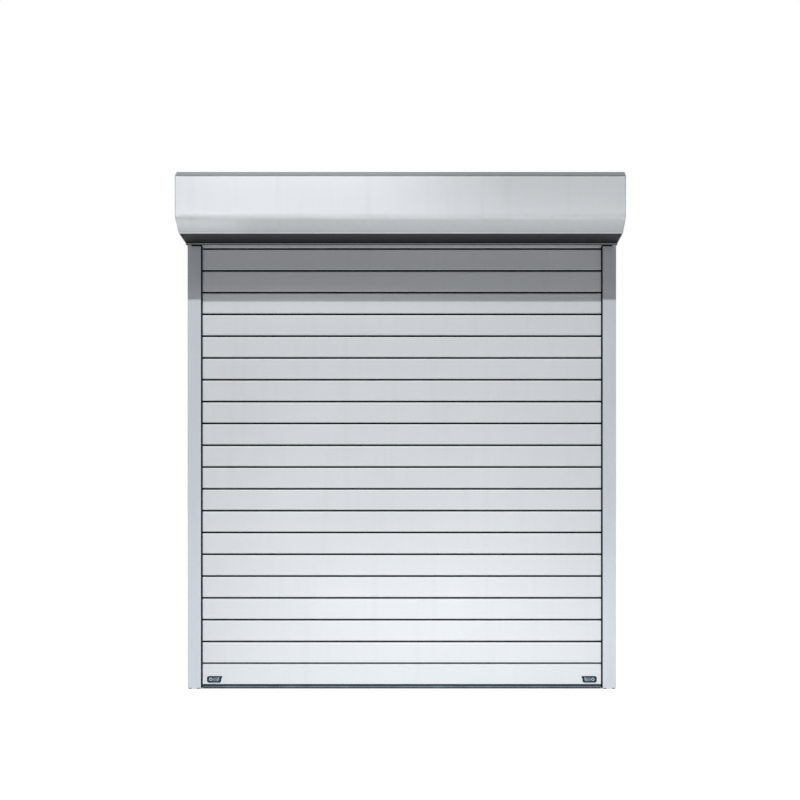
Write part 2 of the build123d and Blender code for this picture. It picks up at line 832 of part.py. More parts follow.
motor_end = motor_face - motor_length
with BuildPart() as motor_body:
    with BuildSketch(axis_plane.offset(motor_end)):
        Circle(motor_radius)
    extrude(amount=motor_length)
    with BuildSketch(axis_plane.offset(motor_end - cut_over)):
        Circle(shaft_radius + running_gap)
    extrude(amount=shaft_seat + slide_gap + cut_over, mode=Mode.SUBTRACT)
save(motor_body.part, "motor_body")

with BuildPart() as limit_crown:
    with BuildSketch(axis_plane.offset(tube_right - crown_length)):
        octagon(tube_inner)
        Circle(motor_radius + running_gap, mode=Mode.SUBTRACT)
    extrude(amount=crown_length)
save(limit_crown.part, "limit_crown")

adapter_end = motor_end - shaft_seat
with BuildPart() as drive_adapter:
    with BuildSketch(axis_plane.offset(adapter_end - adapter_length)):
        octagon(tube_inner)
        RegularPolygon(shaft_radius + running_gap, shaft_sides, mode=Mode.SUBTRACT)
    extrude(amount=adapter_length)
save(drive_adapter.part, "drive_adapter")

with BuildPart() as motor_shaft:
    with BuildSketch(axis_plane.offset(adapter_end - adapter_length)):
        RegularPolygon(shaft_radius, shaft_sides)
    extrude(amount=adapter_length + 2 * shaft_seat)
save(motor_shaft.part, "motor_shaft")

# Idler side: plug and pin turn with the shaft, in a bearing held by the bracket
with BuildPart() as tube_end_plug:
    with BuildSketch(axis_plane.offset(tube_left)):
        octagon(tube_inner)
        Circle(shaft_radius + running_gap, mode=Mode.SUBTRACT)
    extrude(amount=end_plug_length)
save(tube_end_plug.part, "tube_end_plug")

pin_left = -(cap_inner - bracket_plate - slide_gap)
with BuildPart() as idler_pin:
    with BuildSketch(axis_plane.offset(pin_left)):
        Circle(shaft_radius)
    extrude(amount=idler_pin_length)
save(idler_pin.part, "idler_pin")

bearing_left = -(cap_inner - bracket_plate)
with BuildPart() as idler_bearing:
    with BuildSketch(axis_plane.offset(bearing_left)):
        octagon(bearing_radius)
        Circle(shaft_radius + running_gap, mode=Mode.SUBTRACT)
    extrude(amount=bearing_width)
save(idler_bearing.part, "idler_bearing")

with BuildPart() as idler_bracket:
    with BuildSketch(axis_plane.offset(-cap_inner)):
        bracket_outline()
    extrude(amount=bracket_plate)
    with BuildSketch(axis_plane.offset(bearing_left)):
        octagon(bearing_radius + bearing_wall)
        octagon(bearing_radius + glide_fit, Mode.SUBTRACT)
    extrude(amount=bearing_width)
save(idler_bracket.part, "idler_bracket")

# Bracket screws go through each bracket into its end cap.
bracket_screws = []
for y_side in (-1, 1):
    for z_side in (-1, 1):
        screw_place = (y_side * screw_spacing_y / 2, z_side * screw_spacing_z / 2)
        with BuildPart() as bracket_screw:
            with BuildSketch(axis_plane.offset(cap_inner - bracket_plate - screw_head)):
                with Locations(screw_place):
                    RegularPolygon(screw_head_radius, screw_head_sides)
            extrude(amount=screw_head)
            with BuildSketch(axis_plane.offset(cap_inner - bracket_plate)):
                with Locations(screw_place):
                    shank()
            extrude(amount=bracket_plate + screw_depth)
        bracket_screws.append(bracket_screw.part)
        bracket_screws.append(mirror(bracket_screw.part, about=Plane.YZ))
save(joined(bracket_screws), "bracket_screws")

# Grommet for the motor's lead, flush with the wall plane
with BuildPart() as cable_grommet:
    grommet_place = (half_width - grommet_side, box_top - grommet_drop)
    with BuildSketch(Plane.XZ.offset(-wall_plane)):
        with Locations(grommet_place):
            Circle(grommet_hole_radius - running_gap)
    extrude(amount=sheet)
    with BuildSketch(Plane.XZ.offset(-(wall_plane - sheet))):
        with Locations(grommet_place):
            RegularPolygon(grommet_flange_radius, screw_sides)
    extrude(amount=grommet_flange)
    with BuildSketch(Plane.XZ.offset(-(wall_plane + cut_over))):
        with Locations(grommet_place):
            Circle(grommet_bore_radius)
    extrude(amount=sheet + grommet_flange + 2 * cut_over, mode=Mode.SUBTRACT)
save(cable_grommet.part, "cable_grommet")
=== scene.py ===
import bpy
import bmesh
import json
import math
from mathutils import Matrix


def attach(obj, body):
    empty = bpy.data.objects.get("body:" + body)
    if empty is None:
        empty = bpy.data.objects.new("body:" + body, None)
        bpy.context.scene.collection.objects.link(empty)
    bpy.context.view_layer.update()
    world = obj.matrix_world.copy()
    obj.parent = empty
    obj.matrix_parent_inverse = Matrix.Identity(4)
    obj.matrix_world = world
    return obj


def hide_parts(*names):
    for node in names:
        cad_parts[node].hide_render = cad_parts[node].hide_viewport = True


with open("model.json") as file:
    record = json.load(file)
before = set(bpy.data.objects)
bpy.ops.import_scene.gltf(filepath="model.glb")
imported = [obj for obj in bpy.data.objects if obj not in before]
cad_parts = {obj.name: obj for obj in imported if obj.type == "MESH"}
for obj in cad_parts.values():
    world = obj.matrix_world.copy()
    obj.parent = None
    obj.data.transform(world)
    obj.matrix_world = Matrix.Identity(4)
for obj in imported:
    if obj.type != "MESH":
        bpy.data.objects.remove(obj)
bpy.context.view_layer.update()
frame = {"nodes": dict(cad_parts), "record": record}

nodeBody = {node: body for body, nodes in frame["record"]["behaviour"]["bodies"].items() for node in nodes}
nodeSlot = {part["node"]: part["material_slot"] for part in frame["record"]["subparts"]}
slatNames = sorted(node for node in nodeBody if node.startswith("slat_"))
hair = 1e-6  # two numbers closer than this are the same
near = 0.0002  # what lies within this of a given place is picked


# small helpers for selections and for work in edit mode

def clearSelection():
    if bpy.context.object and bpy.context.object.mode != "OBJECT":
        bpy.ops.object.mode_set(mode="OBJECT")
    bpy.ops.object.select_all(action="DESELECT")


def selectOnly(piece):
    clearSelection()
    piece.select_set(True)
    bpy.context.view_layer.objects.active = piece


def applyPlace():
    bpy.ops.object.transform_apply(location=True, rotation=True, scale=True)


def pickParts(kind, test):
    # picks the points, edges or faces that pass the test
    mesh = bmesh.from_edit_mesh(bpy.context.object.data)
    bpy.ops.mesh.select_mode(type=kind)
    bpy.ops.mesh.select_all(action="DESELECT")
    for item in {"VERT": mesh.verts, "EDGE": mesh.edges, "FACE": mesh.faces}[kind]:
        if test(item):
            item.select_set(True)
    bmesh.update_edit_mesh(bpy.context.object.data)


def pickFaces(test):
    pickParts("FACE", lambda face: test(face.calc_center_median(), face.normal))


def pickEdges(test):
    pickParts("EDGE", lambda edge: test(edge.verts[0].co, edge.verts[1].co))


def pickPoints(places):
    pickParts("VERT", lambda point: any(abs(point.co.y - y) < near and abs(point.co.z - z) < near
                                        for y, z in places))


def facesFront(place, normal):
    return normal.y < -0.9


def runsAlongY(first, second):
    return abs(first.x - second.x) < hair and abs(first.z - second.z) < hair


def drawLine(start, path, rounded, length, close=False):
    # one point is pulled out along the section (Y, Z), corners are rounded, and the line is pulled along X
    clearSelection()
    bpy.ops.mesh.primitive_plane_add(size=0.001, location=(0, 0, 0))
    bpy.ops.object.mode_set(mode="EDIT")
    bpy.ops.mesh.select_all(action="SELECT")
    bpy.ops.mesh.merge(type="CENTER")
    bpy.ops.mesh.select_mode(type="VERT")
    bpy.ops.mesh.select_all(action="SELECT")
    bpy.ops.transform.translate(value=(start, path[0][0], path[0][1]))
    for (y0, z0), (y1, z1) in zip(path, path[1:]):
        bpy.ops.mesh.extrude_vertices_move(TRANSFORM_OT_translate={"value": (0, y1 - y0, z1 - z0)})
    if close:
        bpy.ops.mesh.select_all(action="SELECT")
        bpy.ops.mesh.edge_face_add()
    for places, radius, steps in rounded:
        pickPoints(places)
        bpy.ops.mesh.bevel(offset=radius, offset_type="OFFSET", segments=steps, affect="VERTICES")
    bpy.ops.mesh.select_all(action="SELECT")
    if close:
        bpy.ops.mesh.extrude_region_move(TRANSFORM_OT_translate={"value": (length, 0, 0)})
    else:
        bpy.ops.mesh.extrude_edges_move(TRANSFORM_OT_translate={"value": (length, 0, 0)})
    bpy.ops.mesh.select_all(action="SELECT")
    bpy.ops.mesh.remove_doubles(threshold=0.00001)
    bpy.ops.mesh.normals_make_consistent(inside=False)
    bpy.ops.object.mode_set(mode="OBJECT")
    return bpy.context.object


def addBlock(place, size, turn=0):
    # a block, turned about Y by degrees
    clearSelection()
    bpy.ops.mesh.primitive_cube_add(size=1, location=place, rotation=(0, math.radians(turn), 0), scale=size)
    applyPlace()
    return bpy.context.object


def addDisc(place, radius, height):
    # a round disc that faces the front
    clearSelection()
    bpy.ops.mesh.primitive_cylinder_add(vertices=32, radius=radius, depth=height, location=place,
                                        rotation=(math.radians(90), 0, 0))
    applyPlace()
    return bpy.context.object


def roundCorners(width, steps):
    # the edges along Y of the active block
    bpy.ops.object.mode_set(mode="EDIT")
    pickEdges(runsAlongY)
    bpy.ops.mesh.bevel(offset=width, segments=steps, affect="EDGES")
    bpy.ops.object.mode_set(mode="OBJECT")


def pushFaces(shift):
    bpy.ops.mesh.extrude_region_move(TRANSFORM_OT_translate={"value": shift})


def useModifier(piece, kind, **values):
    modifier = piece.modifiers.new(kind.title(), kind)
    for key, value in values.items():
        setattr(modifier, key, value)
    bpy.context.view_layer.objects.active = piece
    bpy.ops.object.modifier_apply(modifier=modifier.name)


def thicken(piece, wall):
    useModifier(piece, "SOLIDIFY", thickness=wall, offset=0)


def roundEdges(piece, width, steps=2):
    useModifier(piece, "BEVEL", width=width, segments=steps, limit_method="ANGLE",
                angle_limit=math.radians(30), harden_normals=False)


def mergeInto(target, others):
    clearSelection()
    for other in others:
        other.select_set(True)
    target.select_set(True)
    bpy.context.view_layer.objects.active = target
    bpy.ops.object.join()
    return target


def copyNode(node):
    # a copy of a CAD node, merged and with its flat faces made whole
    selectOnly(frame["nodes"][node])
    bpy.ops.object.duplicate()
    piece = bpy.context.object
    bpy.ops.object.mode_set(mode="EDIT")
    bpy.ops.mesh.select_all(action="SELECT")
    bpy.ops.mesh.remove_doubles(threshold=0.00002)
    bpy.ops.mesh.dissolve_limited(angle_limit=math.radians(0.5))
    bpy.ops.mesh.normals_make_consistent(inside=False)
    bpy.ops.mesh.select_all(action="DESELECT")
    bpy.ops.object.mode_set(mode="OBJECT")
    return piece


def finishPiece(piece, name, body, replaced, angle=40):
    selectOnly(piece)
    applyPlace()
    bpy.ops.object.shade_smooth_by_angle(angle=math.radians(angle))
    useModifier(piece, "WEIGHTED_NORMAL", keep_sharp=True, weight=90)
    piece.name = name
    piece.data.name = name
    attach(piece, body)
    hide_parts(*replaced)


# material helpers, all on Object coordinates

def newMaterial(name):
    material = bpy.data.materials.new(name)
    material.use_nodes = True
    nodes = material.node_tree.nodes
    shader = next(node for node in nodes if node.type == "BSDF_PRINCIPLED")
    return material, nodes, material.node_tree.links, shader


def addNode(nodes, kind, **values):
    node = nodes.new(kind)
    for key, value in values.items():
        if key in node.inputs:
            node.inputs[key].default_value = value
        else:
            setattr(node, key, value)
    return node


def objectPlace(nodes, links, scale=(1, 1, 1)):
    place = nodes.new("ShaderNodeTexCoord")
    mapping = addNode(nodes, "ShaderNodeMapping", Scale=scale)
    links.new(place.outputs["Object"], mapping.inputs["Vector"])
    return mapping.outputs["Vector"]


def noiseNode(nodes, links, vector, scale, detail=3.0, rough=0.5):
    noise = addNode(nodes, "ShaderNodeTexNoise", Scale=scale, Detail=detail, Roughness=rough)
    links.new(vector, noise.inputs["Vector"])
    return noise.outputs["Fac"]


def cellNode(nodes, links, vector, scale):
    cells = addNode(nodes, "ShaderNodeTexVoronoi", feature="F1", Scale=scale)
    links.new(vector, cells.inputs["Vector"])
    return cells


def rampNode(nodes, links, value, low, high):
    # each end of the ramp is a place and a tone: a colour, or one number for a grey
    ramp = nodes.new("ShaderNodeValToRGB")
    links.new(value, ramp.inputs["Fac"])
    for element, (place, tone) in zip(ramp.color_ramp.elements, (low, high)):
        element.position = place
        element.color = (*tone, 1) if isinstance(tone, tuple) else (tone, tone, tone, 1)
    return ramp.outputs["Color"]


def timesColor(nodes, links, first, second):
    mix = nodes.new("ShaderNodeMix")
    mix.data_type = "RGBA"
    mix.blend_type = "MULTIPLY"
    mix.inputs[0].default_value = 1.0
    links.new(first, mix.inputs[6])  # the two sockets that take colours
    links.new(second, mix.inputs[7])
    return mix.outputs[2]


def bumpNode(nodes, links, height, strength, distance, before=None):
    bump = addNode(nodes, "ShaderNodeBump", Strength=strength, Distance=distance)
    links.new(height, bump.inputs["Height"])
    if before:
        links.new(before, bump.inputs["Normal"])
    return bump.outputs["Normal"]


def tinted(color, factor):
    return tuple(min(1.0, part * factor) for part in color)


coatLook = {
    "cloud": 2.2, "cloudTones": (0.965, 1.03), "streaks": (28, 28, 1.6), "streakSpan": (0.52, 0.82),
    "speck": 1400, "speckTone": (0.955, 0.957, 0.96), "sheen": 9, "sheenSpan": (-0.05, 0.06),
    "peel": 420, "peelHigh": 0.0003, "wave": 14, "waveStrength": 0.12, "waveHigh": 0.0015,
    "shine": 0.5, "dullShine": 0.15, "coatRough": 0.3, "warmDust": 1.3,
}


def powderCoat(name, color, roughness=0.42, peel=0.25, dust=0.05, grain=1.0, coat=0.12):
    look = coatLook
    material, nodes, links, shader = newMaterial(name)
    spot = objectPlace(nodes, links)
    dark, pale = look["cloudTones"]
    base = rampNode(nodes, links, noiseNode(nodes, links, spot, look["cloud"], 4),
                    (0.3, tinted(color, dark)), (0.7, tinted(color, pale)))
    clean, dusty = look["streakSpan"]
    streak = noiseNode(nodes, links, objectPlace(nodes, links, look["streaks"]), 1.0, 5, 0.6)
    dirt = rampNode(nodes, links, streak, (clean, 1),
                    (dusty, (1 - dust, 1 - dust, 1 - look["warmDust"] * dust)))
    base = timesColor(nodes, links, base, dirt)
    speck = noiseNode(nodes, links, spot, look["speck"] * grain, 2, 0.7)
    base = timesColor(nodes, links, base, rampNode(nodes, links, speck, (0.35, look["speckTone"]), (0.6, 1)))
    links.new(base, shader.inputs["Base Color"])
    glossy, dull = look["sheenSpan"]
    sheen = rampNode(nodes, links, noiseNode(nodes, links, spot, look["sheen"], 3),
                     (0.3, roughness + glossy), (0.7, roughness + dull))
    links.new(sheen, shader.inputs["Roughness"])
    peelHeight = noiseNode(nodes, links, spot, look["peel"] * grain, 2, 0.5)
    normal = bumpNode(nodes, links, peelHeight, peel, look["peelHigh"])
    waveHeight = noiseNode(nodes, links, spot, look["wave"], 1)
    normal = bumpNode(nodes, links, waveHeight, look["waveStrength"], look["waveHigh"], normal)
    links.new(normal, shader.inputs["Normal"])
    shader.inputs["Coat Weight"].default_value = coat
    shader.inputs["Specular IOR Level"].default_value = look["shine"] if coat else look["dullShine"]
    shader.inputs["Coat Roughness"].default_value = look["coatRough"]
    return material


rubberLook = {
    "bloom": 12, "bloomTones": (0.8, 1.45), "dull": 60, "dullSpan": (-0.08, 0.1),
    "grain": 1600, "grainStrength": 0.35, "grainHigh": 0.0003, "ribStrength": 0.25, "ribHigh": 0.0006,
    "shine": 0.12,
}


def rubberSkin(name, color, ribs=0.0, roughness=0.62):
    look = rubberLook
    material, nodes, links, shader = newMaterial(name)
    spot = objectPlace(nodes, links)
    dark, pale = look["bloomTones"]
    bloom = rampNode(nodes, links, noiseNode(nodes, links, spot, look["bloom"], 5, 0.6),
                     (0.35, tinted(color, dark)), (0.75, tinted(color, pale)))
    links.new(bloom, shader.inputs["Base Color"])
    smooth, rough = look["dullSpan"]
    dull = rampNode(nodes, links, noiseNode(nodes, links, spot, look["dull"], 3),
                    (0.3, roughness + smooth), (0.7, roughness + rough))
    links.new(dull, shader.inputs["Roughness"])
    grain = noiseNode(nodes, links, spot, look["grain"], 3, 0.6)
    normal = bumpNode(nodes, links, grain, look["grainStrength"], look["grainHigh"])
    if ribs:
        wave = addNode(nodes, "ShaderNodeTexWave", wave_type="BANDS", bands_direction="Z", Scale=ribs)
        links.new(spot, wave.inputs["Vector"])
        normal = bumpNode(nodes, links, wave.outputs["Fac"], look["ribStrength"], look["ribHigh"], normal)
    links.new(normal, shader.inputs["Normal"])
    shader.inputs["Specular IOR Level"].default_value = look["shine"]
    return material


def shadeAlongY(material, start, end, factor):
    # painted shade: darker towards the second place, as where light doesn't reach
    nodes, links = material.node_tree.nodes, material.node_tree.links
    shader = next(node for node in nodes if node.type == "BSDF_PRINCIPLED")
    before = shader.inputs["Base Color"].links[0].from_socket
    apart = nodes.new("ShaderNodeSeparateXYZ")
    links.new(objectPlace(nodes, links), apart.inputs["Vector"])
    fade = addNode(nodes, "ShaderNodeMapRange")
    fade.inputs["From Min"].default_value, fade.inputs["From Max"].default_value = start, end
    fade.inputs["To Min"].default_value, fade.inputs["To Max"].default_value = 1.0, factor
    links.new(apart.outputs["Y"], fade.inputs["Value"])
    links.new(timesColor(nodes, links, before, fade.outputs["Result"]), shader.inputs["Base Color"])
    return material


plasticLook = {"flow": 35, "flowTones": (0.85, 1.2), "grain": 900, "grainStrength": 0.3,
               "grainHigh": 0.0003, "duller": 0.12}


def mouldedPlastic(name, color, roughness=0.45, shine=0.5):
    look = plasticLook
    material, nodes, links, shader = newMaterial(name)
    spot = objectPlace(nodes, links)
    flow = noiseNode(nodes, links, spot, look["flow"], 4, 0.55)
    dark, pale = look["flowTones"]
    shade = rampNode(nodes, links, flow, (0.3, tinted(color, dark)), (0.7, tinted(color, pale)))
    links.new(shade, shader.inputs["Base Color"])
    grain = cellNode(nodes, links, spot, look["grain"]).outputs["Distance"]
    links.new(bumpNode(nodes, links, grain, look["grainStrength"], look["grainHigh"]),
              shader.inputs["Normal"])
    dull = rampNode(nodes, links, flow, (0.3, roughness), (0.7, roughness + look["duller"]))
    links.new(dull, shader.inputs["Roughness"])
    shader.inputs["Specular IOR Level"].default_value = shine
    return material


metalLook = {"tones": (0.82, 1.1), "wear": 300, "wearSpan": (-0.1, 0.15), "wearStrength": 0.2,
             "wearHigh": 0.0002, "metallic": 0.9}


def bareMetal(name, color, roughness=0.38, spangle=120, brushed=(1, 1, 1)):
    look = metalLook
    material, nodes, links, shader = newMaterial(name)
    spot = objectPlace(nodes, links, brushed)
    dark, pale = look["tones"]
    cells = cellNode(nodes, links, spot, spangle).outputs["Color"]
    tone = rampNode(nodes, links, cells, (0.2, tinted(color, dark)), (0.8, tinted(color, pale)))
    links.new(tone, shader.inputs["Base Color"])
    wear = noiseNode(nodes, links, spot, look["wear"], 4, 0.6)
    smooth, rough = look["wearSpan"]
    links.new(rampNode(nodes, links, wear, (0.3, roughness + smooth), (0.7, roughness + rough)),
              shader.inputs["Roughness"])
    links.new(bumpNode(nodes, links, wear, look["wearStrength"], look["wearHigh"]), shader.inputs["Normal"])
    shader.inputs["Metallic"].default_value = look["metallic"]
    return material


finishes = {
    "box": powderCoat("boxCoat", (0.68, 0.706, 0.736)),
    "boxTop": powderCoat("boxTopCoat", (0.175, 0.18, 0.188), dust=0.03),
    # painted shade: the underside's dark coat and its fade stand in for the shade under the box
    "underside": shadeAlongY(
        powderCoat("undersideCoat", (0.066, 0.069, 0.073), roughness=0.6, dust=0.02, coat=0),
        start=-0.133, end=-0.050, factor=0.14),  # painted shade, deepening from the hem of the slope to the lip
    # painted highlight: a near-white coat for a band on the lower hem
    "hemEdge": powderCoat("hemEdgeCoat", (0.96, 0.97, 0.99)),
    "rail": powderCoat("railCoat", (0.572, 0.612, 0.658)),
    "slat": powderCoat("slatCoat", (0.645, 0.675, 0.705), dust=0.04),
    "joint": powderCoat("jointShade", (0.008, 0.0085, 0.009), roughness=0.6, coat=0),
    "cap": powderCoat("castCapCoat", (0.60, 0.63, 0.66), roughness=0.5, peel=0.6, grain=0.6),
    "mill": bareMetal("millAluminium", (0.72, 0.73, 0.74), 0.42, 40, (0.05, 1, 1)),
    "blackRubber": rubberSkin("blackRubber", (0.004, 0.004, 0.005)),
    "sealRubber": rubberSkin("slateBlueRubber", (0.115, 0.168, 0.224), ribs=160),
    "blackPlastic": mouldedPlastic("blackNylon", (0.004, 0.005, 0.008), shine=0.15),
    "greyPlastic": mouldedPlastic("slateNylon", (0.12, 0.165, 0.23), 0.4),
    "inkPlastic": mouldedPlastic("inkBlueNylon", (0.022, 0.045, 0.065), 0.4, shine=0.3),
    # painted highlight: a light grey-blue for the stud ring and the slanted rib of the locks
    "mistPlastic": mouldedPlastic("mistGreyNylon", (0.38, 0.47, 0.54), 0.35),
    "paleNylon": mouldedPlastic("paleNylon", (0.60, 0.62, 0.64), 0.5),
    "zinc": bareMetal("zincPlatedSteel", (0.60, 0.61, 0.62)),
    "springSteel": bareMetal("bluedSpringSteel", (0.16, 0.18, 0.21), 0.3, 60, (0.2, 4, 1)),
    "enamel": powderCoat("motorEnamel", (0.75, 0.75, 0.73), roughness=0.25, peel=0.12),
    "bristle": rubberSkin("blackBristle", (0.01, 0.01, 0.011), roughness=0.8),
}
slotFinish = {
    "powder_coated_box": "box", "powder_coated_rail": "rail", "powder_coated_slat": "slat",
    "cast_end_cap": "cap", "mill_aluminium": "mill", "black_rubber": "blackRubber",
    "navy_rubber": "sealRubber", "black_plastic": "blackPlastic", "grey_plastic": "greyPlastic",
    "zinc_steel": "zinc", "spring_steel": "springSteel", "motor_enamel": "enamel",
    "light_nylon": "paleNylon",
}


def giveFinish(piece, finish):
    piece.data.materials.clear()
    piece.data.materials.append(finishes[finish])


def giveFaces(piece, finish, test=None):
    # one more finish, on the faces that pass the test or else on those picked last
    piece.data.materials.append(finishes[finish])
    bpy.ops.object.mode_set(mode="EDIT")
    if test:
        pickFaces(test)
    piece.active_material_index = len(piece.data.materials) - 1
    bpy.ops.object.material_slot_assign()
    bpy.ops.object.mode_set(mode="OBJECT")


for node, slotName in nodeSlot.items():
    giveFinish(frame["nodes"][node], slotFinish[slotName])
giveFinish(frame["nodes"]["inlet_brush"], "bristle")
print("materials ready")


# slats: one with glides and one without are drawn and copied, each copy with its own mesh

slatShape = {  # heights count from the joint line under the slat, the crook's from the one above
    "pitch": 0.077, "firstLine": 0.089, "end": 0.735, "half": 0.007, "wall": 0.0013,
    "faceDrop": 0.0031, "edgeRound": 0.0026, "backRound": 0.0012,
    "nibY": -0.00125, "nibTop": 0.0062, "lowWeb": 0.01285, "highWeb": 0.0551, "web": 0.001105,
    "webGap": 0.0002, "neckY": 0.00235, "crook": 0.0031, "crookRise": 0.0074, "crookSteps": 10,
    "hook": 0.0014, "glide": 0.002, "glideLow": 0.0135, "glideRound": 0.0015, "shadeAngle": 35,
}


def crookPath(line):
    # the neck and the half round on top of a slat
    shape = slatShape
    middleY = shape["neckY"] - shape["crook"]
    middleZ = line + shape["crookRise"]
    path = [(shape["neckY"], line - shape["faceDrop"] - shape["wall"])]
    for step in range(shape["crookSteps"] + 1):
        turn = math.pi * step / shape["crookSteps"]
        path.append((middleY + shape["crook"] * math.cos(turn), middleZ + shape["crook"] * math.sin(turn)))
    return path


def makeSlat(glides):
    shape = slatShape
    low = shape["firstLine"]
    high = low + shape["pitch"]
    skin = shape["half"] - shape["wall"] / 2
    faceLow = low + shape["faceDrop"] + shape["wall"] / 2
    faceHigh = high - shape["faceDrop"] - shape["wall"] / 2
    length = 2 * shape["end"]
    shell = drawLine(-shape["end"], [
        (shape["nibY"], low + shape["nibTop"]), (shape["nibY"], faceLow), (-skin, faceLow),
        (-skin, (faceLow + faceHigh) / 2), (-skin, faceHigh), (skin, faceHigh),
        (skin, low - shape["faceDrop"])],
        [([(-skin, faceLow), (-skin, faceHigh)], shape["edgeRound"], 4),
         ([(skin, faceHigh)], shape["backRound"], 3)], length)
    thicken(shell, shape["wall"])
    hook = drawLine(-shape["end"], crookPath(high), [], length)
    thicken(hook, shape["hook"])
    webs = []
    reach = skin - shape["webGap"]
    for height in (low + shape["lowWeb"], low + shape["highWeb"]):
        webs.append(drawLine(-shape["end"], [(-reach, height), (reach, height)], [], length))
        thicken(webs[-1], shape["web"])
    for part in (shell, *webs):
        giveFinish(part, "slat")
    giveFinish(hook, "joint")  # the neck is always in the dark of the joint
    slat = mergeInto(shell, [hook, *webs])
    if glides:
        half, bottom, top = shape["half"], low + shape["glideLow"], high - shape["faceDrop"]
        corners = [(-half, bottom), (half, bottom), (half, top), (-half, top)]
        plates = []
        for start in (-shape["end"] - shape["glide"], shape["end"]):
            plates.append(drawLine(start, corners, [(corners, shape["glideRound"], 3)], shape["glide"],
                                   close=True))
            giveFinish(plates[-1], "slat")
        slat = mergeInto(slat, plates)
    return slat


slatModels = {False: makeSlat(False), True: makeSlat(True)}
for number, node in enumerate(slatNames, start=1):
    selectOnly(slatModels[number % 2 == 0])
    bpy.ops.object.duplicate()
    bpy.ops.transform.translate(value=(0, 0, (number - 1) * slatShape["pitch"]))
    finishPiece(bpy.context.object, f"slat{number:02d}Shell", nodeBody[node],
                (node,), slatShape["shadeAngle"])
for model in slatModels.values():
    bpy.data.objects.remove(model)
print("slats ready")


# pieces that keep their CAD form and get worked edges: width, steps and finish

softened = {
    "top_cover": (0.0004, 2, "boxTop"), "bottom_cover": (0.0003, 2, "underside"),
    "guide_rail_left": (0.0007, 3, "rail"), "guide_rail_right": (0.0007, 3, "rail"),
    "rail_seal_left": (0.0003, 2, "blackRubber"), "rail_seal_right": (0.0003, 2, "blackRubber"),
    "rail_foot_left": (0.0006, 2, "paleNylon"), "rail_foot_right": (0.0006, 2, "paleNylon"),
    "bottom_bar": (0.0003, 2, "slat"), "bar_end_plugs": (0.0005, 2, "blackPlastic"),
    "inlet_strip": (0.0003, 2, "mill"), "inlet_guide_left": (0.0004, 2, "blackPlastic"),
    "inlet_guide_right": (0.0004, 2, "blackPlastic"), "cable_grommet": (0.0005, 2, "blackRubber"),
    "motor_bracket": (0.0005, 2, "zinc"), "idler_bracket": (0.0005, 2, "zinc"),
    "motor_head": (0.001, 3, "blackPlastic"), "lock_bolt_left": (0.0003, 2, "zinc"),
    "lock_bolt_right": (0.0003, 2, "zinc"), "strap_hooks": (0.0002, 2, "mill"),
}
lipShape = {"front": -0.0445, "low": 1.5622, "high": 1.566}
drainShape = {"x": 0.7315, "reach": 0.0215, "front": -0.0104, "back": -0.0062, "top": 0.0045}
barShade = 0.0868  # the bar's neck above this is in the dark of the joint


def onLip(place, normal):
    return lipShape["low"] < place.z < lipShape["high"] and place.y > lipShape["front"] and normal.y < -0.5


def onBarNeck(place, normal):
    return place.z > barShade


# painted shade: faces inside the rail feet's drain notches get the black rubber coat for the shade in the
# notches
def inDrain(place, normal):
    return (drainShape["front"] < place.y < drainShape["back"] and place.z < drainShape["top"]
            and abs(abs(place.x) - drainShape["x"]) < drainShape["reach"])


otherFaces = {
    "bottom_cover": ("box", onLip), "bottom_bar": ("joint", onBarNeck),
    # painted shade: black in the drain notches of the rail feet
    "rail_foot_left": ("blackRubber", inDrain), "rail_foot_right": ("blackRubber", inDrain),
}
for node, (width, steps, finish) in softened.items():
    piece = copyNode(node)
    roundEdges(piece, width, steps)
    if node == "bottom_cover":  # the lip is pale above; along its lower edge it keeps the dark underside coat, a painted shade line
        bpy.ops.object.mode_set(mode="EDIT")
        bpy.ops.mesh.select_all(action="SELECT")
        bpy.ops.mesh.bisect(plane_co=(0, 0, lipShape["low"]), plane_no=(0, 0, 1))
        bpy.ops.object.mode_set(mode="OBJECT")
    giveFinish(piece, finish)
    if node in otherFaces:
        giveFaces(piece, *otherFaces[node])
    first, *rest = node.split("_")
    finishPiece(piece, first + "".join(word.title() for word in rest) + "Worked", nodeBody[node],
                (node,))
print("worked nodes ready")


# front cover: upper hem, fascia, soft bend, slope and lower hem, drawn as one sheet

coverShape = {
    "end": 0.7517, "sheet": 0.0012, "front": -0.189, "top": 1.762, "bend": 1.626, "bendRound": 0.0135,
    "topRound": 0.0015, "topFoldRound": 0.0004, "hemY": -0.133, "hemZ": 1.580, "hemShort": 0.0012,
    "hem": 0.010, "fold": 0.0021, "foldRound": 0.0009, "edge": 0.0048, "edgeReach": (0.0008, 0.0002),
    "shadeAngle": 30,
}


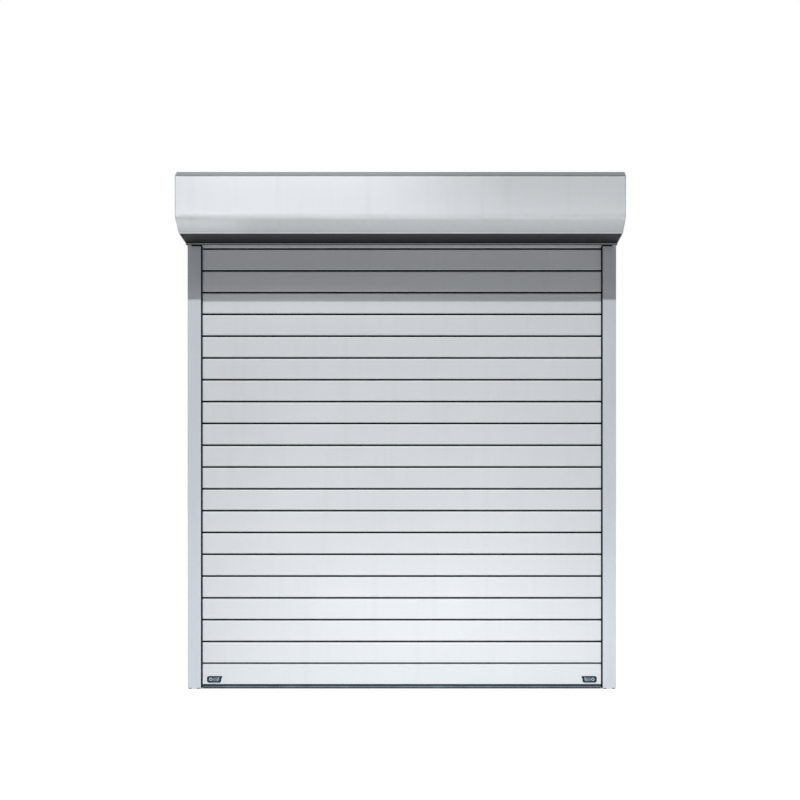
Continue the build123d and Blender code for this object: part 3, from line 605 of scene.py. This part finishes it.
def makeFrontCover():
    shape = coverShape
    skin = shape["front"] + shape["sheet"] / 2
    run = math.hypot(shape["hemY"] - shape["front"], shape["bend"] - shape["hemZ"])
    alongY = (shape["hemY"] - shape["front"]) / run
    alongZ = (shape["hemZ"] - shape["bend"]) / run
    inY, inZ = -alongZ, alongY
    lowY = shape["hemY"] - alongY * shape["hemShort"] + inY * shape["sheet"] / 2
    lowZ = shape["hemZ"] - alongZ * shape["hemShort"] + inZ * shape["sheet"] / 2
    backY, backZ = lowY + inY * shape["fold"], lowZ + inZ * shape["fold"]
    kneeY, kneeZ = lowY - alongY * shape["edge"], lowZ - alongZ * shape["edge"]
    topFold, topZ = skin + shape["fold"], shape["top"] - shape["sheet"] / 2
    cover = drawLine(-shape["end"], [
        (topFold, shape["top"] - shape["hem"]), (topFold, topZ), (skin, topZ), (skin, shape["bend"]),
        (kneeY, kneeZ), (lowY, lowZ), (backY, backZ),
        (backY - alongY * shape["hem"], backZ - alongZ * shape["hem"])], [
        ([(skin, shape["bend"])], shape["bendRound"], 14),
        ([(lowY, lowZ), (backY, backZ)], shape["foldRound"], 4),
        ([(skin, topZ)], shape["topRound"], 5), ([(topFold, topZ)], shape["topFoldRound"], 3)],
        2 * shape["end"])
    thicken(cover, shape["sheet"])
    giveFinish(cover, "box")
    # painted highlight: the lower hem's front faces get the near-white band, standing in for light catching
    # the hem
    below, above = shape["edgeReach"]
    giveFaces(cover, "hemEdge",
              lambda place, normal: normal.y < -0.3 and lowZ - below < place.z < kneeZ + above)
    finishPiece(cover, "frontCoverSheet", nodeBody["front_cover"], ("front_cover",),
                shape["shadeAngle"])


makeFrontCover()
print("front cover ready")


# end caps: castings with a bevelled rim and a shallow framed panel on the outer face

capShape = {"half": 0.755, "edge": 0.0008, "edgeDrop": 0.00064, "frame": 0.008, "slope": 0.0006,
            "panel": 0.0007, "corners": [(-0.1880, 1.7650), (-0.1740, 1.7790)], "cornerReach": 0.0018,
            "flatness": 0.0001}


def pickPlate(outside, part, corner=None):
    # on the outer face: the large face itself, the points of its rim, or its own points at one corner
    def isOutside(place):
        return abs(place.x - outside) < capShape["flatness"]

    mesh = bmesh.from_edit_mesh(bpy.context.object.data)
    plate = max((face for face in mesh.faces if isOutside(face.calc_center_median())),
                key=lambda face: face.calc_area())
    if part == "face":
        pickParts("FACE", lambda face: face == plate)
    elif part == "rim":
        pickParts("VERT", lambda point: point not in plate.verts and isOutside(point.co))
    else:
        pickParts("VERT", lambda point: point in plate.verts and math.hypot(
            point.co.y - corner[0], point.co.z - corner[1]) < capShape["cornerReach"])


for side, sign in (("left", -1), ("right", 1)):
    piece = copyNode(f"end_cap_{side}")
    outside = sign * capShape["half"]
    bpy.ops.object.mode_set(mode="EDIT")
    pickPlate(outside, "face")
    bpy.ops.mesh.inset(thickness=capShape["edge"], depth=0)
    pickPlate(outside, "rim")
    bpy.ops.transform.translate(value=(-sign * capShape["edgeDrop"], 0, 0))
    for corner in capShape["corners"]:
        pickPlate(outside, "corner", corner)
        bpy.ops.mesh.merge(type="CENTER")
    pickPlate(outside, "face")
    bpy.ops.mesh.inset(thickness=capShape["frame"], depth=0)
    bpy.ops.mesh.inset(thickness=capShape["slope"], depth=-capShape["panel"])
    bpy.ops.object.mode_set(mode="OBJECT")
    giveFinish(piece, "cap")
    finishPiece(piece, f"endCap{side.title()}Casting", "fixed_frame", (f"end_cap_{side}",))
print("end caps ready")


# slide locks: window with a recess, a stud and an upper corner lug, slide with a thumb ring and a rib

lockShape = {
    "x": 0.662, "z": 0.034, "front": -0.007, "long": 0.050, "tall": 0.022, "plate": 0.0026,
    "endRound": 0.0075, "rim": 0.0034, "recess": 0.0012, "plateEdge": 0.0005,
    "studAt": 0.0115, "studRing": 0.0056, "stud": 0.0028, "studHigh": 0.0004, "studSunk": 0.00017,
    "lugAt": -0.024, "lugWide": 0.009, "lugTall": 0.0055, "lugThick": 0.002496, "lugRound": 0.00231,
    "lugEdge": 0.0004,
    "padAt": -0.0068, "pad": 0.0235, "padTall": 0.0125, "padThick": 0.0018, "padGap": 0.00005,
    "padRound": 0.004375, "padRim": 0.0013, "padHollow": 0.0005, "padEdge": 0.0003,
    "ringAt": -0.0005, "ring": 0.0036, "ringHole": 0.0016, "ringHigh": 0.0006, "ringSunk": 0.0006,
    "ringDeep": 0.0008, "dimple": 0.00064, "dimpleDeep": 0.0002, "ringEdge": 0.0003,
    "ribAt": -0.0145, "ribUp": 0.0012, "ribOut": 0.0002, "ribWide": 0.0022, "ribThick": 0.0014,
    "ribTall": 0.0150, "ribTurn": 24, "ribRound": 0.00099, "ribEdge": 0.0002,
}
windowFloor = lockShape["front"] - lockShape["plate"] + lockShape["recess"]


def makeBezel(sign):
    shape = lockShape
    plateY = shape["front"] - shape["plate"] / 2
    bezel = addBlock((sign * shape["x"], plateY, shape["z"]), (shape["long"], shape["plate"], shape["tall"]))
    roundCorners(shape["endRound"], 8)
    bpy.ops.object.mode_set(mode="EDIT")
    pickFaces(facesFront)
    bpy.ops.mesh.inset(thickness=shape["rim"], depth=0)
    pushFaces((0, shape["recess"], 0))
    bpy.ops.object.mode_set(mode="OBJECT")
    roundEdges(bezel, shape["plateEdge"])
    giveFinish(bezel, "blackPlastic")
    giveFaces(bezel, "inkPlastic",
              lambda place, normal: facesFront(place, normal) and abs(place.y - windowFloor) < near)
    stud = addDisc((sign * (shape["x"] + shape["studAt"]), windowFloor + shape["studSunk"], shape["z"]),
                   shape["studRing"], shape["studHigh"])  # so flat that the slide passes over it
    # painted highlight: the stud's light ring around a black centre stands in for a ring-shaped highlight
    giveFinish(stud, "mistPlastic")
    bpy.ops.object.mode_set(mode="EDIT")
    pickFaces(facesFront)
    bpy.ops.mesh.inset(thickness=shape["studRing"] - shape["stud"], depth=0)
    bpy.ops.object.mode_set(mode="OBJECT")
    giveFaces(stud, "blackPlastic")
    lug = addBlock((sign * (shape["x"] + shape["lugAt"]), plateY,
                    shape["z"] + (shape["tall"] - shape["lugTall"]) / 2),
                   (shape["lugWide"], shape["lugThick"], shape["lugTall"]))
    roundCorners(shape["lugRound"], 5)
    roundEdges(lug, shape["lugEdge"])
    giveFinish(lug, "blackPlastic")
    return mergeInto(bezel, [stud, lug])


bezels = mergeInto(makeBezel(-1), [makeBezel(1)])
finishPiece(bezels, "lockBezels", "bottom_bar_unit", ("lock_housings",))


def makeLockSlide(sign):
    shape = lockShape
    pad = addBlock((sign * (shape["x"] + shape["padAt"]),
                    windowFloor - shape["padThick"] / 2 - shape["padGap"], shape["z"]),
                   (shape["pad"], shape["padThick"], shape["padTall"]))
    roundCorners(shape["padRound"], 6)
    bpy.ops.object.mode_set(mode="EDIT")
    pickFaces(facesFront)
    bpy.ops.mesh.inset(thickness=shape["padRim"], depth=0)
    pushFaces((0, shape["padHollow"], 0))
    bpy.ops.object.mode_set(mode="OBJECT")
    roundEdges(pad, shape["padEdge"])
    giveFinish(pad, "greyPlastic")
    top = windowFloor - shape["padThick"]
    ring = addDisc((sign * (shape["x"] + shape["ringAt"]),
                    top + (shape["ringSunk"] - shape["ringHigh"]) / 2, shape["z"]),
                   shape["ring"], shape["ringHigh"] + shape["ringSunk"])
    bpy.ops.object.mode_set(mode="EDIT")
    pickFaces(facesFront)
    bpy.ops.mesh.inset(thickness=shape["ring"] - shape["ringHole"], depth=0)
    pushFaces((0, shape["ringDeep"], 0))
    bpy.ops.mesh.inset(thickness=shape["dimple"], depth=0)
    pushFaces((0, shape["dimpleDeep"], 0))
    bpy.ops.object.mode_set(mode="OBJECT")
    roundEdges(ring, shape["ringEdge"], 3)
    giveFinish(ring, "greyPlastic")
    rib = addBlock((sign * (shape["x"] + shape["ribAt"]), top - shape["ribOut"], shape["z"] + shape["ribUp"]),
                   (shape["ribWide"], shape["ribThick"], shape["ribTall"]), -sign * shape["ribTurn"])
    roundCorners(shape["ribRound"], 4)
    roundEdges(rib, shape["ribEdge"])
    # painted highlight: the slanted rib's light coat stands in for a glint between the thumb tip and the body
    giveFinish(rib, "mistPlastic")
    return mergeInto(pad, [ring, rib])


for side, sign in (("left", -1), ("right", 1)):
    finishPiece(makeLockSlide(sign), f"lockSlide{side.title()}Pad", f"lock_{side}",
                (f"lock_slide_{side}",))
print("locks ready")


# bottom seal: foot, bulb, shoulder and a lip up the bar's face, in one strip

sealShape = {
    "end": 0.7018, "foot": 0.0031, "footRound": 0.0008, "side": 0.006, "low": 0.0050, "high": 0.0098,
    "bulbRound": 0.0010, "neck": 0.0040, "neckLow": 0.0114, "shoulder": 0.0134, "bar": 0.00705,
    "lip": 0.0009, "lipTop": 0.0168, "lipRound": 0.0004, "blackLow": 0.0042, "lowIn": 0.0004,
    "lipLow": 0.0122, "blackDrop": 0.0012,
}


def makeSeal():
    shape = sealShape
    foot, side, bar = shape["foot"], shape["side"], shape["bar"]
    lipFront = bar + shape["lip"]
    path = [(-foot, 0.0), (foot, 0.0), (side, shape["low"]), (side, shape["high"]),
            (shape["neck"], shape["neckLow"]), (shape["neck"], shape["shoulder"]),
            (-bar, shape["shoulder"]), (-bar, shape["lipTop"]), (-lipFront, shape["lipTop"]),
            (-lipFront, shape["lipLow"]), (-side, shape["high"]), (-side, shape["low"]),
            (-side + shape["lowIn"], shape["blackLow"])]
    seal = drawLine(-shape["end"], path, [
        ([path[2], path[3], path[9]], shape["bulbRound"], 4), ([path[0], path[1]], shape["footRound"], 3),
        ([path[7], path[8]], shape["lipRound"], 3)], 2 * shape["end"], close=True)
    giveFinish(seal, "sealRubber")
    lipStart = shape["lipLow"] - shape["blackDrop"]
    # the foot and the lip are black
    giveFaces(seal, "blackRubber", lambda place, normal: place.z < shape["blackLow"] or place.z > lipStart)
    finishPiece(seal, "sealStrip", "bottom_bar_unit", ("bottom_seal",))


makeSeal()
print("seal ready")


# screws of the bottom cover: one is drawn with its recess and copied

screwShape = {
    "head": 0.0038, "high": 0.0016, "slope": 0.001064, "crown": 0.0003, "recess": 0.000836,
    "recessDeep": 0.0011, "shank": 0.0019, "long": 0.008, "edge": 0.00025, "x": 0.746, "tilt": 9.364,
    "seats": [(-0.11608, 1.57721), (-0.05592, 1.56729)],
}


def makeScrew():
    # the head's seat is at Z = 0 and the shank points up
    shape = screwShape
    clearSelection()
    bpy.ops.mesh.primitive_cylinder_add(vertices=24, radius=shape["head"], depth=shape["high"],
                                        location=(0, 0, -shape["high"] / 2))
    applyPlace()
    bpy.ops.object.mode_set(mode="EDIT")
    pickFaces(lambda place, normal: normal.z < -0.9)
    bpy.ops.mesh.inset(thickness=shape["slope"], depth=0)
    bpy.ops.transform.translate(value=(0, 0, -shape["crown"]))
    bpy.ops.mesh.inset(thickness=shape["recess"], depth=0)
    pushFaces((0, 0, shape["recessDeep"]))
    pickFaces(lambda place, normal: normal.z > 0.9)
    bpy.ops.mesh.inset(thickness=shape["head"] - shape["shank"], depth=0)
    pushFaces((0, 0, shape["long"]))
    bpy.ops.object.mode_set(mode="OBJECT")
    screw = bpy.context.object
    roundEdges(screw, shape["edge"])
    return screw


screwModel = makeScrew()
screwCopies = []
for sign in (-1, 1):
    for y, z in screwShape["seats"]:
        selectOnly(screwModel)
        bpy.ops.object.duplicate()
        copy = bpy.context.object
        copy.rotation_euler = (-math.radians(screwShape["tilt"]), 0, 0)
        copy.location = (sign * screwShape["x"], y, z)
        applyPlace()
        screwCopies.append(copy)
bpy.data.objects.remove(screwModel)
screws = mergeInto(screwCopies[0], screwCopies[1:])
giveFinish(screws, "joint")
finishPiece(screws, "coverScrewHeads", "fixed_frame", ("cover_screws",))
print("screws ready")


# floor, light and camera

studio = {
    "floor": 14.0, "floorPlace": (0, 1.0, 0), "floorColor": (0.45, 0.45, 0.45),
    "floorTones": (0.99, 1.01), "floorCloud": 3, "floorRough": 0.9, "floorGlow": 0.62,
    "sky": 0.15, "sun": 2.57, "sunPlace": (0, -3, 4), "sunAngle": 1.0, "elevation": 55.5,
}
softLamps = {  # turn and spread in degrees, power in watts
    "lowStrip": {"place": (0.06, -1.0, 0.10), "turn": (90, 0, 0), "size": (1.6, 0.2),
                 "power": 5.5, "spread": 180},
    "highLeft": {"place": (-0.38, -0.50, 2.05), "turn": (40, 0, 0), "size": (1.0, 0.1),
                 "power": 1.0, "spread": 120},
    "slopeLeft": {"place": (-0.84, -0.48, 1.216), "turn": (142.6, 0, 0), "size": (0.6, 0.06),
                  "power": 0.030, "spread": 18},
    "backFill": {"place": (1.4, 2.6, 2.0), "turn": (-60, 0, -28), "size": (2.0, 1.6),
                 "power": 26.0, "spread": 180},
    "slopeStrip": {"place": (-0.05, -0.48, 1.216), "turn": (142.6, 0, 0), "size": (1.7, 0.06),
                   "power": 0.085, "spread": 16},
    "bendStrip": {"place": (-0.05, -0.506, 1.4765), "turn": (115, 0.45, 0), "size": (1.8, 0.008),
                  "power": 0.0115, "spread": 6},
}


def seenRays(nodes, links):
    # 1 for rays from the camera, through glass or off gloss, 0 for the light that falls on the part
    rays = nodes.new("ShaderNodeLightPath")
    direct = addNode(nodes, "ShaderNodeMath", operation="MAXIMUM")
    links.new(rays.outputs["Is Camera Ray"], direct.inputs[0])
    links.new(rays.outputs["Is Transmission Ray"], direct.inputs[1])
    shown = addNode(nodes, "ShaderNodeMath", operation="MAXIMUM")
    links.new(direct.outputs[0], shown.inputs[0])
    links.new(rays.outputs["Is Glossy Ray"], shown.inputs[1])
    return shown.outputs[0]


clearSelection()
bpy.ops.mesh.primitive_plane_add(size=studio["floor"], location=studio["floorPlace"])
floor = bpy.context.object
floor.name = "studioFloor"
floorPaint, nodes, links, shader = newMaterial("floorPaint")
cloud = noiseNode(nodes, links, objectPlace(nodes, links), studio["floorCloud"], 3)
darkFloor, paleFloor = (tinted(studio["floorColor"], tone) for tone in studio["floorTones"])
links.new(rampNode(nodes, links, cloud, (0.3, darkFloor), (0.7, paleFloor)), shader.inputs["Base Color"])
shader.inputs["Roughness"].default_value = studio["floorRough"]
seen = addNode(nodes, "ShaderNodeMath", operation="MULTIPLY")
seen.inputs[1].default_value = studio["floorGlow"]
links.new(seenRays(nodes, links), seen.inputs[0])
glow = nodes.new("ShaderNodeEmission")
links.new(seen.outputs[0], glow.inputs["Strength"])
addShaders = nodes.new("ShaderNodeAddShader")
links.new(shader.outputs[0], addShaders.inputs[0])
links.new(glow.outputs[0], addShaders.inputs[1])
output = next(node for node in nodes if node.type == "OUTPUT_MATERIAL")
links.new(addShaders.outputs[0], output.inputs["Surface"])
floor.data.materials.append(floorPaint)

world = bpy.data.worlds.new("studioSky")
bpy.context.scene.world = world
world.use_nodes = True
nodes, links = world.node_tree.nodes, world.node_tree.links
sky = next(node for node in nodes if node.type == "BACKGROUND")
sky.inputs["Color"].default_value = (1, 1, 1, 1)
level = nodes.new("ShaderNodeMapRange")
level.inputs["To Min"].default_value = studio["sky"]
level.inputs["To Max"].default_value = 1.0
links.new(seenRays(nodes, links), level.inputs["Value"])
links.new(level.outputs["Result"], sky.inputs["Strength"])

bpy.ops.object.light_add(type="SUN", location=studio["sunPlace"])
sun = bpy.context.object
sun.name = "keySun"
sun.data.energy = studio["sun"]
sun.data.angle = math.radians(studio["sunAngle"])
sun.rotation_euler = (math.radians(90 - studio["elevation"]), 0, 0)

for name, lamp in softLamps.items():
    bpy.ops.object.light_add(type="AREA", location=lamp["place"],
                             rotation=[math.radians(angle) for angle in lamp["turn"]])
    light = bpy.context.object
    light.name = name
    light.data.shape = "RECTANGLE"
    light.data.size, light.data.size_y = lamp["size"]
    light.data.energy = lamp["power"]
    light.data.spread = math.radians(lamp["spread"])

photoView = {"place": (0.095, -3.511, 0.913), "lens": 44.7, "sensor": 36, "shift": (-0.036, 0.0375)}
bpy.ops.object.camera_add(location=photoView["place"], rotation=(math.radians(90), 0, 0))
camera = bpy.context.object
camera.name = "photoCamera"
camera.data.lens = photoView["lens"]
camera.data.sensor_width = photoView["sensor"]
camera.data.shift_x, camera.data.shift_y = photoView["shift"]
bpy.context.scene.camera = camera
bpy.context.scene.view_settings.view_transform = "Standard"
print("studio ready")
